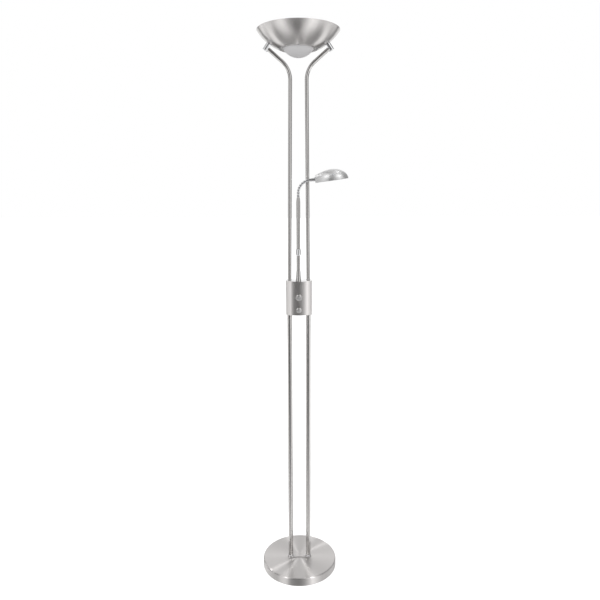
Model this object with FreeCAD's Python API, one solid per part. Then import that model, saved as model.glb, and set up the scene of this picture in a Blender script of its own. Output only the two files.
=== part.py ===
import FreeCAD, Part
import math
import os

# Floor lamp with an uplighter bowl and a reading light, in millimetres.
# +Z is up, the controls face -Y, and the reading head points to +X.
# The origin is the centre of the base pad's underside.

V = FreeCAD.Vector
X_AXIS = V(1, 0, 0)
Y_AXIS = V(0, 1, 0)
Z_AXIS = V(0, 0, 1)

# Clearances
FIT = 0.1                    # between pieces that are fixed together
SEAT = 0.3                   # between curved faces that seat on each other
RUN = 0.05                   # radial, between pieces that turn in each other
OVERRUN = 1.0                # of a cutter past what it cuts

# Base
BASE_RADIUS = 129.0
BASE_HEIGHT = 28.5
BASE_COVER_WALL = 1.2
BASE_EDGE_RADIUS = 4.0
BASE_SKIRT_GAP = 1.0         # from the floor to the cover's lower edge
PAD_THICKNESS = 1.5
PAD_INSET = 4.0              # from the cover's side to the pad's edge
PAD_RADIUS = BASE_RADIUS - PAD_INSET
WEIGHT_INSET = 2.5           # from the cover's side to the weight's
WEIGHT_RADIUS = BASE_RADIUS - WEIGHT_INSET
WEIGHT_POCKET_RADIUS = 98.0
WEIGHT_POCKET_DEPTH = 11.0
WEIGHT_POCKET_DRAFT = 2.0    # by which the pocket widens to its mouth
GLAND_HEIGHT = 13.0          # of the mains inlet's centre above the floor
GLAND_BORE_RADIUS = 3.4
GLAND_NECK_RADIUS = 5.0
GLAND_LIP_RADIUS = 6.8
GLAND_LIP_DEPTH = 2.5
GLAND_LIP_EDGE = 1.0
CABLE_CHANNEL_WIDTH = 15.0

# Lower poles and their feet
POLE_SPACING = 62.0
LOWER_POLE_RADIUS = 8.0
LOWER_POLE_WALL = 1.2
FOOT_PLATE_RADIUS = 10.0
FOOT_PLATE_THICKNESS = 1.5
FOOT_RING_RADIUS = 9.8
FOOT_RING_HEIGHT = 4.0
FOOT_RING_CHAMFER = 1.0
PLUG_LENGTH = 30.0
BOLT_RADIUS = 5.0
BOLT_GRIP = 18.0             # of the bolt in the plug
BOLT_HEAD_RADIUS = 8.5
BOLT_HEAD_HEIGHT = 6.0
BOLT_FLANGE_RADIUS = 11.0
BOLT_FLANGE_THICKNESS = 1.8

# Control box
BOX_BOTTOM = 917.5
BOX_HEIGHT = 113.5
BOX_HALF_WIDTH = 42.2
BOX_EDGE_DEPTH = 18.0        # half depth at the sides
BOX_BULGE = 11.0             # how far the front and back crown past the sides
BOX_CORNER = 5.0             # radius of the upright corners
BOX_WALL = 1.0
BOX_CAP_THICKNESS = 2.0
BOX_SEAM = 0.4               # between the two shells
BOX_TOP_DIP = 2.0            # hollow of the top edge between the poles
BOX_DIP_HALF_WIDTH = 28.0
SPACER_RADIUS = 4.0
SPACER_X = 14.0              # of the two upper spacers from the middle
UPPER_SPACER_RISE = 92.5     # above the box's bottom
LOWER_SPACER_RISE = 39.0
SCREW_RADIUS = 1.5
SCREW_HEAD_RADIUS = 3.0
SCREW_HEAD_HEIGHT = 1.6
SCREW_HEAD_TAPER = 0.7       # of the head's top to its foot
SCREW_LENGTH = 10.0

# Pole couplers inside the box
POLE_JOINT_RISE = 57.5       # above the box's bottom
COUPLER_FLANGE = 4.0
COUPLER_SPIGOT = 20.0
COUPLER_BORE_RADIUS = 2.5

# Dimmers and knobs
UPLIGHT_KNOB_RISE = 60.0     # above the box's bottom
READING_KNOB_RISE = 18.0
DIMMER_SIZE = 29.0
DIMMER_DEPTH = 17.0
DIMMER_CORNER = 1.5
DIMMER_SETBACK = 2.6         # from the box wall's inside to the dimmer's face
BUSH_RADIUS = 4.5
BUSH_LENGTH = 4.6            # past the box wall's outside
NUT_RADIUS = 6.6
NUT_THICKNESS = 2.4
SPINDLE_RADIUS = 3.0
SPINDLE_FLAT = 0.7
SPINDLE_FLAT_SETBACK = 1.0   # from the bush to where the flat starts
UPLIGHT_KNOB_RADIUS = 10.3
READING_KNOB_RADIUS = 8.6
KNOB_DRAFT = 0.7             # by which a knob narrows to its face
KNOB_LENGTH = 13.0
KNOB_GAP = 1.2               # from the box wall to the knob's skirt
KNOB_EDGE = 0.8
KNOB_CROWN = 0.8             # how far the knob's face domes
KNOB_SKIRT_WALL = 1.6
KNOB_SKIRT_DEPTH = 4.4
KNOB_SOCKET_DEPTH = 10.5
TERMINAL_WIDTH = 30.0
TERMINAL_HEIGHT = 12.0
TERMINAL_DEPTH = 13.0
TERMINAL_RISE = 67.5         # above the box's bottom
TERMINAL_SCREWS = 3
TERMINAL_SCREW_RADIUS = 2.6

# Upper poles
UPPER_POLE_RADIUS = 6.0
UPPER_POLE_WALL = 1.0
UPPER_POLE_CORNER_X = 25.2   # half spacing where the poles turn outward
UPPER_POLE_END_ANGLE = 49.5  # from upright
UPPER_POLE_BEND_RADIUS = 70.0

# Bowl
BOWL_RIM_RADIUS = 127.7
BOWL_RIM_HEIGHT = 1800.0
BOWL_DEPTH = 54.0            # from the rim down to the seat
BOWL_SEAT_RADIUS = 60.0
BOWL_HOLE_RADIUS = 48.6
BOWL_ARC_RADIUS = 149.0
BOWL_WALL = 1.2

# Barrels that carry the bowl
BARREL_SEAT_RADIUS = 89.4    # where a barrel's axis meets the bowl
BARREL_RADIUS = 8.4
BARREL_LENGTH = 24.0
BARREL_CROSS = 14.0          # from the bowl to the pole's axis, along the barrel
BARREL_CHAMFER = 0.8
STUD_RADIUS = 4.0
STUD_PAST_AXIS = 4.5
STUD_PLUG_LENGTH = 16.0
STUD_NECK = 4.0              # of the stud between the barrel and the pole's plug
GRUB_RADIUS = 2.5
GRUB_RECESS = 0.5
GRUB_SOCKET_RADIUS = 1.4
GRUB_SOCKET_DEPTH = 1.6
BOWL_SCREW_RADIUS = 2.5
BOWL_SCREW_GRIP = 7.0
BOWL_SCREW_HEAD_RADIUS = 5.0
BOWL_SCREW_HEAD_HEIGHT = 2.8

# Glass dish, its ring and the uplight's lamp
GLASS_THICKNESS = 3.0
GLASS_FLANGE_RADIUS = 54.0
GLASS_DOME_RADIUS = 47.9
GLASS_DEPTH = 25.0           # of the dome below the bowl's seat
RING_OUTER_RADIUS = 59.0
RING_INNER_RADIUS = 50.0
RING_THICKNESS = 1.2
RING_EDGE = 0.6
RING_SCREW_CIRCLE = 56.6
RING_SCREW_COUNT = 4
RING_SCREW_RADIUS = 1.5
RING_SCREW_HEAD_RADIUS = 2.4
RING_SCREW_HEAD_HEIGHT = 1.5
RING_SCREW_NUT_HEIGHT = 1.6
BRACKET_HALF_LENGTH = 63.0
BRACKET_WIDTH = 18.0
BRACKET_THICKNESS = 1.5
LAMP_RISE = 22.0             # of the lamp's axis above the bowl's seat
LAMP_TUBE_RADIUS = 5.0
LAMP_TUBE_LENGTH = 62.0
LAMP_PINCH_RADIUS = 3.0
LAMP_LENGTH = 78.0
LAMP_SHOULDER = 3.0
HOLDER_RADIUS = 8.0
HOLDER_CUP_DEPTH = 4.0
GUARD_THICKNESS = 3.0
GUARD_WIDTH = 70.0
GUARD_RISE = 37.0            # of the guard's underside above the bowl's seat
CLIP_HOOK = 4.0

# Reading arm
ARM_X = -1.5
ARM_Y = -16.0
COLLAR_FOOT_RADIUS = 8.8
COLLAR_TOP_RADIUS = 6.9
COLLAR_HEIGHT = 33.0
COLLAR_FOOT_EDGE = 1.2
COLLAR_FLARE = 0.3           # share of the taper that is left half way up
COLLAR_SPIGOT_RADIUS = 6.0
COLLAR_SPIGOT_LENGTH = 12.0
COLLAR_NUT_RADIUS = 9.0
COLLAR_NUT_HEIGHT = 5.0
ROD_RADIUS = 6.2
ROD_SEAT_DEPTH = 12.0        # of the rod in the collar
WIRE_BORE_RADIUS = 1.6
BALL_RISE = 87.0             # above the box's top
BALL_RADIUS = 5.6
BALL_NECK_RADIUS = 2.4
LINER_THICKNESS = 0.95
LINER_MOUTH_ANGLE = 31.0     # from straight down
LINER_TOP_ANGLE = 150.0
CUP_RADIUS = 8.0
CUP_GAP = 0.5                # between the cup and the rod's dished end
CUP_MOUTH_ANGLE = 45.0
CUP_HEIGHT = 16.0            # above the ball's centre
CUP_TOP_CHAMFER = 1.5
CUP_TOP_LAND = 0.4
CUP_BORE_RADIUS = 2.5
ARM_TUBE_RADIUS = 6.3
ARM_TUBE_WALL = 1.0
ARM_TUBE_SEAT_DEPTH = 5.0    # of the tube in the cup
ARM_TUBE_RISE = 163.0        # from the ball to where the tube's swaged shoulder starts
ARM_SHOULDER_HEIGHT = 18.0
ARM_SHOULDER_DRAW = 0.55     # how far the shoulder has drawn in at half its height
ARM_NOSE_RADIUS = 4.5        # of the shoulder's end
ARM_THROAT = 2.0             # height of the taper inside the tube's top

# Flexible neck
NECK_LINKS = 8
NECK_LINK_LENGTH = 8.4
NECK_STRAIGHT_LINKS = 2      # links that stand upright at rest
NECK_LINK_GAP = 0.98
NECK_RIBS = 3                # on each link
NECK_CREST_RADIUS = 5.0
NECK_ROOT_RADIUS = 3.0
NECK_RIB_FLANK = 0.3         # share of a rib's pitch that each flank takes
NECK_BORE_RADIUS = 2.2
HEAD_RAKE = 8.0              # how far the reading head points above level

# Reading head, in its own frame: X along the head, Z up from its rim
FERRULE_LENGTH = 22.0
FERRULE_START_RADIUS = 4.4
FERRULE_WAIST_RADIUS = 4.6
FERRULE_WAIST = 13.0         # from the head's back
FERRULE_END_RADIUS = 5.9
FERRULE_RIM = 1.5
FERRULE_SPIGOT_RADIUS = 4.0
FERRULE_SPIGOT_LENGTH = 7.0
FERRULE_NUT_RADIUS = 5.2
FERRULE_NUT_LENGTH = 3.0
HEAD_WALL = 1.2
HEAD_PEAK_X = 53.0           # from the head's back to its widest section
HEAD_LENGTH = 105.0
HEAD_HALF_WIDTH = 35.0
HEAD_HEIGHT = 35.5
HEAD_BACK_HALF_WIDTH = 13.0
HEAD_BACK_HEIGHT = 22.5
HEAD_SECTIONS = 6
LENS_THICKNESS = 3.0
LENS_RECESS = 1.5
LENS_EDGE_GAP = 0.3
REFLECTOR_THICKNESS = 0.8
REFLECTOR_GAP = 1.6
REFLECTOR_START = 14.0
SOCKET_RADIUS = 7.0
SOCKET_LENGTH = 16.0
SOCKET_START = 12.0
STRAP_HALF_WIDTH = 3.0       # of the strap that holds the socket to the head's back
STRAP_THICKNESS = 1.3
STRAP_OVERLAP = 6.0
BULB_RADIUS = 4.9
BULB_NECK_RADIUS = 3.6
BULB_NECK_LENGTH = 5.0
BULB_TAPER = 4.0
BULB_LENGTH = 34.0
BULB_CAP = 4.0               # height of the bulb's domed end
HEAD_SCREW_X = 56.5          # places of the two screws that hold the reflector
HEAD_SCREW_HEIGHT = 17.0
HEAD_SCREW_RADIUS = 1.3
HEAD_SCREW_HEAD_RADIUS = 2.7
HEAD_SCREW_HEAD_HEIGHT = 1.2


# ---------------------------------------------------------------- helpers

def turned(points, smooth=()):
    """A solid of revolution about Z. Points are (radius, height); an index in smooth makes that
    point the middle of an arc from the point before it to the point after it."""
    corners = [V(r, 0, z) for r, z in points]
    corners.append(corners[0])
    edges = []
    i = 0
    while i < len(corners) - 1:
        if i + 1 in smooth:
            edges.append(Part.Arc(corners[i], corners[i + 1], corners[i + 2]).toShape())
            i += 2
        else:
            edges.append(Part.LineSegment(corners[i], corners[i + 1]).toShape())
            i += 1
    face = Part.Face(Part.Wire(edges))
    return face.revolve(V(0, 0, 0), Z_AXIS, 360)


def cap_middle(radius, height):
    """The (radius, height) of the middle of the arc that domes a cap of a radius and a height."""
    sphere = (radius ** 2 + height ** 2) / (2 * height)
    half = math.asin(radius / sphere) / 2
    return sphere * math.sin(half), height - sphere * (1 - math.cos(half))


def aligned(shape, origin, direction):
    """Turns a shape's own Z to a direction and moves its own origin to a point."""
    placed = shape.copy()
    turn = FreeCAD.Placement(origin, FreeCAD.Rotation(Z_AXIS, direction))
    placed.Placement = turn.multiply(shape.Placement)
    return placed


def rod(radius, length, origin, direction=Z_AXIS):
    """A plain cylinder from a point along a direction."""
    return Part.makeCylinder(radius, length, origin, direction)


def tube(radius, wall, length, origin, direction=Z_AXIS):
    """A plain tube from a point along a direction."""
    return rod(radius, length, origin, direction).cut(rod(radius - wall, length, origin, direction))


def hexagon(radius, height, origin, direction=Z_AXIS):
    """A hexagonal prism with the given corner radius."""
    corners = [V(radius * math.cos(math.radians(60 * i)), radius * math.sin(math.radians(60 * i)), 0)
               for i in range(6)]
    prism = Part.Face(Part.makePolygon(corners + corners[:1])).extrude(V(0, 0, height))
    return aligned(prism, origin, direction)


def block(low, high):
    """A box between two corners."""
    return Part.makeBox(high[0] - low[0], high[1] - low[1], high[2] - low[2], V(*low))


def both_sides(shape):
    """A shape and its mirror image across the lamp's middle, as one node."""
    return Part.makeCompound([shape, mirrored(shape)])


def mirrored(shape):
    """The mirror image across the YZ plane."""
    return shape.mirror(V(0, 0, 0), X_AXIS)


def save(name, shape):
    """Writes one node."""
    if shape.ShapeType == "Compound" and len(shape.Solids) == 1:
        shape = shape.Solids[0]
    shape.exportStep(os.path.join("parts", name + ".step"))


# ------------------------------------------------------------------- base

FOOT_TOP = BASE_HEIGHT + FOOT_PLATE_THICKNESS
POLE_X = POLE_SPACING / 2
WEIGHT_TOP = BASE_HEIGHT - BASE_COVER_WALL - FIT
POCKET_TOP = PAD_THICKNESS + WEIGHT_POCKET_DEPTH


def build_base():
    """Pad, cast weight, spun cover and the mains cable's gland."""
    pole_places = (V(-POLE_X, 0, 0), V(POLE_X, 0, 0))

    save("base_pad", rod(PAD_RADIUS, PAD_THICKNESS, V(0, 0, 0)))

    weight = turned([(0, POCKET_TOP), (WEIGHT_POCKET_RADIUS, POCKET_TOP),
                     (WEIGHT_POCKET_RADIUS + WEIGHT_POCKET_DRAFT, PAD_THICKNESS),
                     (WEIGHT_RADIUS, PAD_THICKNESS), (WEIGHT_RADIUS, WEIGHT_TOP - BASE_EDGE_RADIUS),
                     (WEIGHT_RADIUS - BASE_EDGE_RADIUS, WEIGHT_TOP), (0, WEIGHT_TOP)])
    for place in pole_places:
        weight = weight.cut(rod(BOLT_RADIUS + SEAT, BASE_HEIGHT, place))
    channel = block((-CABLE_CHANNEL_WIDTH / 2, WEIGHT_POCKET_RADIUS - OVERRUN, PAD_THICKNESS - OVERRUN),
                    (CABLE_CHANNEL_WIDTH / 2, BASE_RADIUS, GLAND_HEIGHT + CABLE_CHANNEL_WIDTH / 2))
    save("base_weight", weight.cut(channel))

    inner = BASE_RADIUS - BASE_COVER_WALL
    bend_r = BASE_RADIUS - BASE_EDGE_RADIUS
    bend_z = BASE_HEIGHT - BASE_EDGE_RADIUS
    outer_mid = BASE_EDGE_RADIUS * math.sqrt(0.5)
    inner_mid = (BASE_EDGE_RADIUS - BASE_COVER_WALL) * math.sqrt(0.5)
    cover = turned([(0, BASE_HEIGHT - BASE_COVER_WALL), (bend_r, BASE_HEIGHT - BASE_COVER_WALL),
                    (bend_r + inner_mid, bend_z + inner_mid), (inner, bend_z),
                    (inner, BASE_SKIRT_GAP), (BASE_RADIUS, BASE_SKIRT_GAP), (BASE_RADIUS, bend_z),
                    (bend_r + outer_mid, bend_z + outer_mid), (bend_r, BASE_HEIGHT), (0, BASE_HEIGHT)],
                   smooth=(2, 7))
    for place in pole_places:
        cover = cover.cut(rod(BOLT_RADIUS + SEAT, 2 * BASE_HEIGHT, place))
    inlet = V(0, WEIGHT_POCKET_RADIUS, GLAND_HEIGHT)
    save("base_cover", cover.cut(rod(GLAND_NECK_RADIUS + FIT, BASE_RADIUS, inlet, Y_AXIS)))

    lip = GLAND_LIP_DEPTH
    rim = GLAND_LIP_RADIUS - GLAND_LIP_EDGE
    grip = SEAT + BASE_COVER_WALL + FIT
    gland = turned([(GLAND_BORE_RADIUS, -lip), (rim, -lip), (GLAND_LIP_RADIUS, GLAND_LIP_EDGE - lip),
                    (GLAND_LIP_RADIUS, 0), (GLAND_NECK_RADIUS, 0), (GLAND_NECK_RADIUS, grip),
                    (GLAND_LIP_RADIUS, grip), (GLAND_LIP_RADIUS, grip + lip - GLAND_LIP_EDGE),
                    (rim, grip + lip), (GLAND_BORE_RADIUS, grip + lip)])
    save("cable_gland", aligned(gland, V(0, inner - SEAT, GLAND_HEIGHT), Y_AXIS))


def build_feet():
    """Foot plate, rings, threaded plugs and the bolts that hold the poles to the base."""
    left = V(-POLE_X, 0, BASE_HEIGHT)
    right = V(POLE_X, 0, BASE_HEIGHT)
    plate = rod(FOOT_PLATE_RADIUS, FOOT_PLATE_THICKNESS, left)
    plate = plate.fuse(rod(FOOT_PLATE_RADIUS, FOOT_PLATE_THICKNESS, right))
    plate = plate.fuse(block((-POLE_X, -FOOT_PLATE_RADIUS, BASE_HEIGHT),
                             (POLE_X, FOOT_PLATE_RADIUS, FOOT_TOP)))
    for place in (left, right):
        plate = plate.cut(rod(BOLT_RADIUS + SEAT, FOOT_PLATE_THICKNESS, place))
    save("foot_plate", plate.removeSplitter())

    ring = turned([(LOWER_POLE_RADIUS + FIT, 0), (FOOT_RING_RADIUS, 0),
                   (FOOT_RING_RADIUS, FOOT_RING_HEIGHT - FOOT_RING_CHAMFER),
                   (FOOT_RING_RADIUS - FOOT_RING_CHAMFER, FOOT_RING_HEIGHT),
                   (LOWER_POLE_RADIUS + FIT, FOOT_RING_HEIGHT)])
    save("foot_rings", both_sides(aligned(ring, V(POLE_X, 0, FOOT_TOP), Z_AXIS)))

    plug_radius = LOWER_POLE_RADIUS - LOWER_POLE_WALL - FIT
    plug = rod(plug_radius, PLUG_LENGTH, V(POLE_X, 0, FOOT_TOP))
    plug = plug.cut(rod(BOLT_RADIUS + FIT, PLUG_LENGTH, V(POLE_X, 0, FOOT_TOP)))
    save("lower_pole_plugs", both_sides(plug))

    flange_low = POCKET_TOP - BOLT_FLANGE_THICKNESS
    bolt = rod(BOLT_FLANGE_RADIUS, BOLT_FLANGE_THICKNESS, V(POLE_X, 0, flange_low))
    bolt = bolt.fuse(hexagon(BOLT_HEAD_RADIUS, BOLT_HEAD_HEIGHT, V(POLE_X, 0, flange_low - BOLT_HEAD_HEIGHT)))
    bolt = bolt.fuse(rod(BOLT_RADIUS, FOOT_TOP + BOLT_GRIP - POCKET_TOP, V(POLE_X, 0, POCKET_TOP)))
    save("base_bolts", both_sides(bolt))


# ------------------------------------------------------------ control box

BOX_TOP = BOX_BOTTOM + BOX_HEIGHT
BOX_MIDDLE_DEPTH = BOX_EDGE_DEPTH + BOX_BULGE
UPLIGHT_KNOB_HEIGHT = BOX_BOTTOM + UPLIGHT_KNOB_RISE
READING_KNOB_HEIGHT = BOX_BOTTOM + READING_KNOB_RISE
POLE_JOINT_HEIGHT = BOX_BOTTOM + POLE_JOINT_RISE
TERMINAL_HEIGHT_MIDDLE = BOX_BOTTOM + TERMINAL_RISE


def box_outline(inset):
    """The box's plan as a face at zero height: two crowned faces and two flat sides."""
    half_width = BOX_HALF_WIDTH - inset
    edge = BOX_EDGE_DEPTH - inset
    middle = BOX_MIDDLE_DEPTH - inset
    front = Part.Arc(V(-half_width, -edge, 0), V(0, -middle, 0), V(half_width, -edge, 0)).toShape()
    right = Part.LineSegment(V(half_width, -edge, 0), V(half_width, edge, 0)).toShape()
    back = Part.Arc(V(half_width, edge, 0), V(0, middle, 0), V(-half_width, edge, 0)).toShape()
    left = Part.LineSegment(V(-half_width, edge, 0), V(-half_width, -edge, 0)).toShape()
    return Part.Face(Part.Wire([front, right, back, left]))


def box_prism(inset, low, high):
    """The box's plan, drawn in by an inset, between two heights."""
    prism = box_outline(inset).extrude(V(0, 0, high - low))
    corners = [e for e in prism.Edges if abs(e.tangentAt(e.FirstParameter).z) > 0.9]
    prism = prism.makeFillet(BOX_CORNER - inset, corners)
    prism.translate(V(0, 0, low))
    return prism


def top_dip():
    """What the hollow between the poles takes from the box's top."""
    radius = (BOX_DIP_HALF_WIDTH ** 2 + BOX_TOP_DIP ** 2) / (2 * BOX_TOP_DIP)
    start = V(0, -2 * BOX_MIDDLE_DEPTH, BOX_TOP - BOX_TOP_DIP + radius)
    return rod(radius, 4 * BOX_MIDDLE_DEPTH, start, Y_AXIS)


def build_box():
    """Front and back shells, end caps, spacers and screws."""
    walls = box_prism(0, BOX_BOTTOM, BOX_TOP).cut(box_prism(BOX_WALL, BOX_BOTTOM, BOX_TOP)).cut(top_dip())
    reach = 2 * BOX_HALF_WIDTH
    front_half = block((-reach, -reach, 0), (reach, -BOX_SEAM / 2, BOX_TOP))
    back_half = block((-reach, BOX_SEAM / 2, 0), (reach, reach, BOX_TOP))
    front = walls.common(front_half)
    for height in (UPLIGHT_KNOB_HEIGHT, READING_KNOB_HEIGHT):
        start = V(0, -BOX_MIDDLE_DEPTH - OVERRUN, height)
        front = front.cut(rod(BUSH_RADIUS + FIT, BOX_MIDDLE_DEPTH, start, Y_AXIS))
    save("box_front_shell", front)

    back = walls.common(back_half)
    inside = box_prism(BOX_WALL + FIT, BOX_BOTTOM, BOX_TOP)
    spacers = []
    screws = []
    for x, rise in ((0, LOWER_SPACER_RISE), (-SPACER_X, UPPER_SPACER_RISE), (SPACER_X, UPPER_SPACER_RISE)):
        height = BOX_BOTTOM + rise
        head_seat = crown_depth(max(0.0, abs(x) - SCREW_HEAD_RADIUS)) + FIT
        start = V(x, -BOX_MIDDLE_DEPTH, height)
        thread_start = V(x, head_seat - SCREW_LENGTH - OVERRUN, height)
        thread = rod(SCREW_RADIUS + FIT, SCREW_LENGTH + OVERRUN, thread_start, Y_AXIS)
        spacers.append(rod(SPACER_RADIUS, 2 * BOX_MIDDLE_DEPTH, start, Y_AXIS).common(inside).cut(thread))
        back = back.cut(rod(SCREW_RADIUS + FIT, reach, V(x, 0, height), Y_AXIS))
        head = turned([(0, 0), (SCREW_HEAD_RADIUS, 0),
                       (SCREW_HEAD_RADIUS * SCREW_HEAD_TAPER, SCREW_HEAD_HEIGHT), (0, SCREW_HEAD_HEIGHT)])
        screw = aligned(head, V(x, head_seat, height), Y_AXIS)
        shank_start = V(x, head_seat - SCREW_LENGTH, height)
        screws.append(screw.fuse(rod(SCREW_RADIUS, SCREW_LENGTH, shank_start, Y_AXIS)))
    save("box_back_shell", back)
    save("box_spacers", Part.makeCompound(spacers))
    save("box_screws", Part.makeCompound(screws))

    bottom = box_prism(BOX_WALL + FIT, BOX_BOTTOM, BOX_BOTTOM + BOX_CAP_THICKNESS)
    top = box_prism(BOX_WALL + FIT, BOX_TOP - BOX_TOP_DIP - BOX_CAP_THICKNESS, BOX_TOP).cut(top_dip())
    for side in (-1, 1):
        bottom = bottom.cut(rod(LOWER_POLE_RADIUS + FIT, BOX_TOP, V(side * POLE_X, 0, 0)))
        top = top.cut(upper_pole_hole(side))
    top = top.cut(rod(COLLAR_SPIGOT_RADIUS + FIT, BOX_TOP, V(ARM_X, ARM_Y, 0)))
    save("box_bottom_cap", bottom)
    save("box_top_cap", top)


def crown_depth(x):
    """How far the box's crowned back stands from the middle plane, x from the centre line."""
    radius = (BOX_HALF_WIDTH ** 2 + BOX_BULGE ** 2) / (2 * BOX_BULGE)
    return BOX_MIDDLE_DEPTH - radius + math.sqrt(radius ** 2 - x ** 2)


# ----------------------------------------------------------------- dimmers

def build_dimmer(name, height, knob_radius):
    """A dimmer module with its bush, its spindle and its knob. Returns its fixing nut."""
    wall = -BOX_MIDDLE_DEPTH
    face = wall + BOX_WALL + DIMMER_SETBACK
    half = DIMMER_SIZE / 2
    body = block((-half, face, height - half), (half, face + DIMMER_DEPTH, height + half))
    corners = [e for e in body.Edges if abs(e.tangentAt(e.FirstParameter).y) > 0.9]
    body = body.makeFillet(DIMMER_CORNER, corners)
    bush_end = wall - BUSH_LENGTH
    body = body.fuse(rod(BUSH_RADIUS, face - bush_end, V(0, bush_end, height), Y_AXIS))
    bore_end = face + DIMMER_DEPTH / 2
    body = body.cut(rod(SPINDLE_RADIUS + RUN, bore_end - bush_end, V(0, bush_end, height), Y_AXIS))
    save(name + "_dimmer", body)

    knob_back = wall - KNOB_GAP
    socket_end = knob_back - KNOB_SOCKET_DEPTH
    spindle_start = socket_end + FIT
    spindle = rod(SPINDLE_RADIUS, bore_end - FIT - spindle_start, V(0, spindle_start, height), Y_AXIS)
    flat = block((-SPINDLE_RADIUS, spindle_start, height + SPINDLE_RADIUS - SPINDLE_FLAT),
                 (SPINDLE_RADIUS, bush_end - SPINDLE_FLAT_SETBACK, height + SPINDLE_RADIUS + OVERRUN))
    save(name + "_spindle", spindle.cut(flat))

    tip_radius = knob_radius - KNOB_DRAFT
    crown_radius = tip_radius - KNOB_EDGE
    crown_low = KNOB_LENGTH - KNOB_CROWN
    dome_r, dome_z = cap_middle(crown_radius, KNOB_CROWN)
    knob = turned([(0, 0), (knob_radius, 0), (tip_radius, crown_low - KNOB_EDGE),
                   (crown_radius, crown_low), (dome_r, crown_low + dome_z), (0, KNOB_LENGTH)], smooth=(4,))
    knob = knob.cut(rod(knob_radius - KNOB_SKIRT_WALL, KNOB_SKIRT_DEPTH, V(0, 0, 0)))
    socket = rod(SPINDLE_RADIUS + FIT, KNOB_SOCKET_DEPTH, V(0, 0, 0))
    knob = aligned(knob.cut(socket), V(0, knob_back, height), V(0, -1, 0))
    save(name + "_knob", knob)

    nut_start = V(0, wall - FIT - NUT_THICKNESS, height)
    nut = hexagon(NUT_RADIUS, NUT_THICKNESS, nut_start, Y_AXIS)
    return nut.cut(rod(BUSH_RADIUS + FIT, NUT_THICKNESS, nut_start, Y_AXIS))


def build_controls():
    """The two dimmers, their nuts and the terminal block."""
    uplight_nut = build_dimmer("uplight", UPLIGHT_KNOB_HEIGHT, UPLIGHT_KNOB_RADIUS)
    reading_nut = build_dimmer("reading", READING_KNOB_HEIGHT, READING_KNOB_RADIUS)
    save("dimmer_nuts", Part.makeCompound([uplight_nut, reading_nut]))

    back = BOX_MIDDLE_DEPTH
    half = TERMINAL_WIDTH / 2
    terminal = block((-half, back - BOX_WALL - TERMINAL_DEPTH, TERMINAL_HEIGHT_MIDDLE - TERMINAL_HEIGHT / 2),
                     (half, back, TERMINAL_HEIGHT_MIDDLE + TERMINAL_HEIGHT / 2))
    terminal = terminal.common(box_prism(BOX_WALL + FIT, BOX_BOTTOM, BOX_TOP))
    pitch = TERMINAL_WIDTH / TERMINAL_SCREWS
    for i in range(TERMINAL_SCREWS):
        place = V((i + 0.5) * pitch - half, back - BOX_WALL - TERMINAL_DEPTH, TERMINAL_HEIGHT_MIDDLE)
        terminal = terminal.cut(rod(TERMINAL_SCREW_RADIUS, TERMINAL_DEPTH / 3, place, Y_AXIS))
    save("wiring_block", terminal)


# ------------------------------------------------------------------- bowl

BOWL_SEAT_HEIGHT = BOWL_RIM_HEIGHT - BOWL_DEPTH
LAMP_HEIGHT = BOWL_SEAT_HEIGHT + LAMP_RISE
GUARD_HEIGHT = BOWL_SEAT_HEIGHT + GUARD_RISE


def bowl_arc_centre():
    """The centre (radius, height) of the arc that the bowl's outside follows."""
    run = BOWL_RIM_RADIUS - BOWL_SEAT_RADIUS
    rise = BOWL_RIM_HEIGHT - BOWL_SEAT_HEIGHT
    chord = math.hypot(run, rise)
    height = math.sqrt(BOWL_ARC_RADIUS ** 2 - chord ** 2 / 4)
    return ((BOWL_RIM_RADIUS + BOWL_SEAT_RADIUS) / 2 - height * rise / chord,
            (BOWL_RIM_HEIGHT + BOWL_SEAT_HEIGHT) / 2 + height * run / chord)


ARC_R, ARC_Z = bowl_arc_centre()
BOWL_FLOOR = BOWL_SEAT_HEIGHT + BOWL_WALL


def arc_point(radius, angle):
    """A point (radius, height) on a circle about the bowl's arc centre, angle from straight down."""
    return (ARC_R + radius * math.sin(angle), ARC_Z - radius * math.cos(angle))


def barrel_axis():
    """Where the right barrel's axis leaves the bowl, and its direction."""
    sine = (BARREL_SEAT_RADIUS - ARC_R) / BOWL_ARC_RADIUS
    r, z = arc_point(BOWL_ARC_RADIUS, math.asin(sine))
    return V(r, 0, z), V(sine, 0, -math.sqrt(1 - sine ** 2))


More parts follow.
